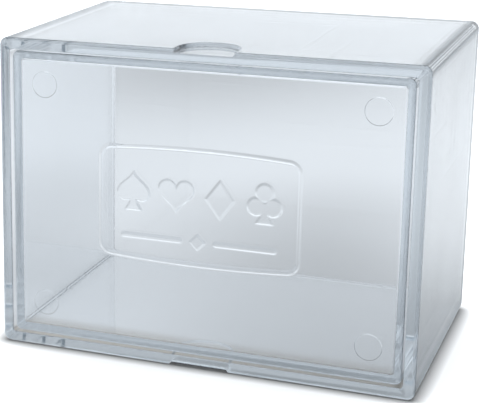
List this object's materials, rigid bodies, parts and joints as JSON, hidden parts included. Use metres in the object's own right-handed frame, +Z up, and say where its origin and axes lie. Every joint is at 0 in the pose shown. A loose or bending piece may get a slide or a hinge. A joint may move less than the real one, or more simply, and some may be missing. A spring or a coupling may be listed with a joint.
{
  "type": "card deck box",
  "caption": "Clear rigid two-part box for a deck of sleeved cards: a tray with a closed panel slides into an open-ended outer shell.",
  "frame": {"origin": "middle of the long flat face the box rests on, at the bottom centre of its bounding box", "axes": "+X along the long side, +Y from the open mouth towards the closed end, +Z up; the tray slides out along -Y"},
  "size_m": [0.104, 0.068, 0.078],
  "materials": {
    "clear_shell": "clear polystyrene, polished, faint blue-grey edge tint",
    "clear_tray": "clear polystyrene, polished, faint blue-grey edge tint"
  },
  "bodies": {
    "shell": {"outer_shell": "clear_shell"},
    "tray": {"inner_tray": "clear_tray"}
  },
  "joints": [
    {"name": "tray_slide", "type": "slide", "parent": "shell", "child": "tray", "axis": [0, -1, 0], "range_m": [0, 0.072]}
  ]
}
